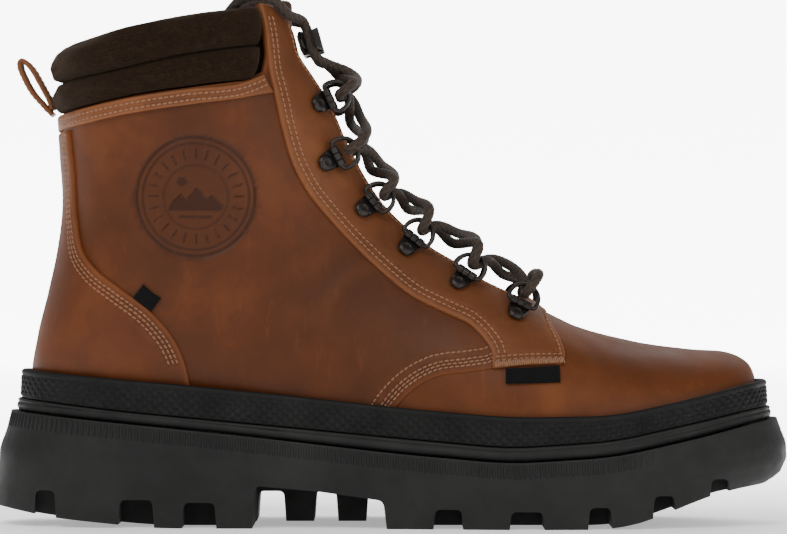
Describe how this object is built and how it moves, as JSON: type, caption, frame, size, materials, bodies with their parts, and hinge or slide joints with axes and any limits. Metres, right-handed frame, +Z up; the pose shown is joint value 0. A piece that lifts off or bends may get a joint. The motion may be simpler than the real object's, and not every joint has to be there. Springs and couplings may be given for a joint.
{
  "type": "insulated hunting boot",
  "caption": "Laced leather hunting boot with lugged cup sole, rubber foxing, D-ring lacing, padded two-roll felt collar and rear pull loop.",
  "frame": {"origin": "centre of the bounding box on the plane the tread stands on", "axes": "+X toward the toe, +Y toward the inner (medial) side, +Z up"},
  "size_m": [0.3131, 0.1169, 0.2106],
  "materials": {
    "rubber": "matt dark grey moulded rubber",
    "foam": "foam",
    "steel": "plain strip",
    "board": "fibre board",
    "footbed": "knit over foam",
    "leather_vamp": "oiled reddish brown leather",
    "leather_quarter": "oiled brown leather",
    "leather_heel": "oiled tan-brown leather",
    "leather_facing": "waxy tan-brown leather",
    "insulation": "batting",
    "lining": "brushed knit",
    "felt": "dark brown wool felt",
    "tongue_leather": "dark brown leather",
    "webbing": "black woven tape",
    "lace": "round braided cord",
    "gunmetal": "dark gunmetal"
  },
  "bodies": {
    "root": {"collar_band": "leather_facing", "eyestay_lateral": "leather_facing", "eyestay_medial": "leather_facing", "footbed": "footbed", "foxing_band": "rubber", "heel_panel": "leather_heel", "heel_stiffener": "board", "heel_tab": "webbing", "insole_board": "board", "insulation": "insulation", "lace": "lace", "lace_hook_lateral": "gunmetal", "lace_hook_medial": "gunmetal", "lining": "lining", "midsole_core": "foam", "outsole": "rubber", "padded_collar": "felt", "quarter_lateral": "leather_quarter", "quarter_medial": "leather_quarter", "ring_plate_lateral_1": "gunmetal", "ring_plate_lateral_2": "gunmetal", "ring_plate_lateral_3": "gunmetal", "ring_plate_lateral_4": "gunmetal", "ring_plate_lateral_5": "gunmetal", "ring_plate_lateral_6": "gunmetal", "ring_plate_medial_1": "gunmetal", "ring_plate_medial_2": "gunmetal", "ring_plate_medial_3": "gunmetal", "ring_plate_medial_4": "gunmetal", "ring_plate_medial_5": "gunmetal", "ring_plate_medial_6": "gunmetal", "shank": "steel", "side_tab": "webbing", "toe_puff": "board", "vamp": "leather_vamp", "welt_bead": "rubber"},
    "d_ring_lateral_1": {"d_ring_lateral_1": "gunmetal"},
    "d_ring_lateral_2": {"d_ring_lateral_2": "gunmetal"},
    "d_ring_lateral_3": {"d_ring_lateral_3": "gunmetal"},
    "d_ring_lateral_4": {"d_ring_lateral_4": "gunmetal"},
    "d_ring_lateral_5": {"d_ring_lateral_5": "gunmetal"},
    "d_ring_lateral_6": {"d_ring_lateral_6": "gunmetal"},
    "d_ring_medial_1": {"d_ring_medial_1": "gunmetal"},
    "d_ring_medial_2": {"d_ring_medial_2": "gunmetal"},
    "d_ring_medial_3": {"d_ring_medial_3": "gunmetal"},
    "d_ring_medial_4": {"d_ring_medial_4": "gunmetal"},
    "d_ring_medial_5": {"d_ring_medial_5": "gunmetal"},
    "d_ring_medial_6": {"d_ring_medial_6": "gunmetal"},
    "tongue": {"tongue": "tongue_leather"},
    "pull_loop": {"pull_loop": "leather_facing"}
  },
  "joints": [
    {"name": "d_ring_lateral_1_swing", "type": "hinge", "parent": "root", "child": "d_ring_lateral_1", "pos_m": [0.05033, -0.02758, 0.08786], "axis": [0.8953, -0.0429, -0.4433], "range_deg": [-5, 5]},
    {"name": "d_ring_lateral_2_swing", "type": "hinge", "parent": "root", "child": "d_ring_lateral_2", "pos_m": [0.0288, -0.02434, 0.09968], "axis": [0.8036, -0.2422, -0.5436], "range_deg": [-5, 5]},
    {"name": "d_ring_lateral_3_swing", "type": "hinge", "parent": "root", "child": "d_ring_lateral_3", "pos_m": [0.00827, -0.02154, 0.11323], "axis": [0.7743, -0.0842, -0.6272], "range_deg": [-5, 5]},
    {"name": "d_ring_lateral_4_swing", "type": "hinge", "parent": "root", "child": "d_ring_lateral_4", "pos_m": [-0.00791, -0.02069, 0.12789], "axis": [0.6058, -0.0488, -0.7941], "range_deg": [-5, 5]},
    {"name": "d_ring_lateral_5_swing", "type": "hinge", "parent": "root", "child": "d_ring_lateral_5", "pos_m": [-0.02207, -0.02422, 0.14575], "axis": [0.4605, 0.1329, -0.8777], "range_deg": [-5, 5]},
    {"name": "d_ring_lateral_6_swing", "type": "hinge", "parent": "root", "child": "d_ring_lateral_6", "pos_m": [-0.02539, -0.01914, 0.16856], "axis": [0.4273, 0.0456, -0.9029], "range_deg": [-5, 5]},
    {"name": "d_ring_medial_1_swing", "type": "hinge", "parent": "root", "child": "d_ring_medial_1", "pos_m": [0.05031, 0.02639, 0.08787], "axis": [-0.8966, -0.0344, 0.4415], "range_deg": [-5, 5]},
    {"name": "d_ring_medial_2_swing", "type": "hinge", "parent": "root", "child": "d_ring_medial_2", "pos_m": [0.02881, 0.02428, 0.09967], "axis": [-0.8072, -0.212, 0.551], "range_deg": [-5, 5]},
    {"name": "d_ring_medial_3_swing", "type": "hinge", "parent": "root", "child": "d_ring_medial_3", "pos_m": [0.00827, 0.02154, 0.11323], "axis": [-0.7743, -0.0842, 0.6272], "range_deg": [-5, 5]},
    {"name": "d_ring_medial_4_swing", "type": "hinge", "parent": "root", "child": "d_ring_medial_4", "pos_m": [-0.00791, 0.02069, 0.12789], "axis": [-0.6058, -0.0488, 0.7941], "range_deg": [-5, 5]},
    {"name": "d_ring_medial_5_swing", "type": "hinge", "parent": "root", "child": "d_ring_medial_5", "pos_m": [-0.02207, 0.02422, 0.14575], "axis": [-0.4605, 0.1329, 0.8777], "range_deg": [-5, 5]},
    {"name": "d_ring_medial_6_swing", "type": "hinge", "parent": "root", "child": "d_ring_medial_6", "pos_m": [-0.02539, 0.01914, 0.16856], "axis": [-0.4273, 0.0456, 0.9029], "range_deg": [-5, 5]},
    {"name": "tongue_tilt", "type": "hinge", "parent": "root", "child": "tongue", "pos_m": [0.06242, 0, 0.0723], "axis": [0, -1, 0], "range_deg": [0, 6], "stiffness_Nm_per_rad": 0.3, "springref_deg": -11.46},
    {"name": "pull_loop_fold", "type": "hinge", "parent": "root", "child": "pull_loop", "pos_m": [-0.1352, 0, 0.1623], "axis": [0, -1, 0], "range_deg": [-3, 60], "stiffness_Nm_per_rad": 0.02}
  ]
}
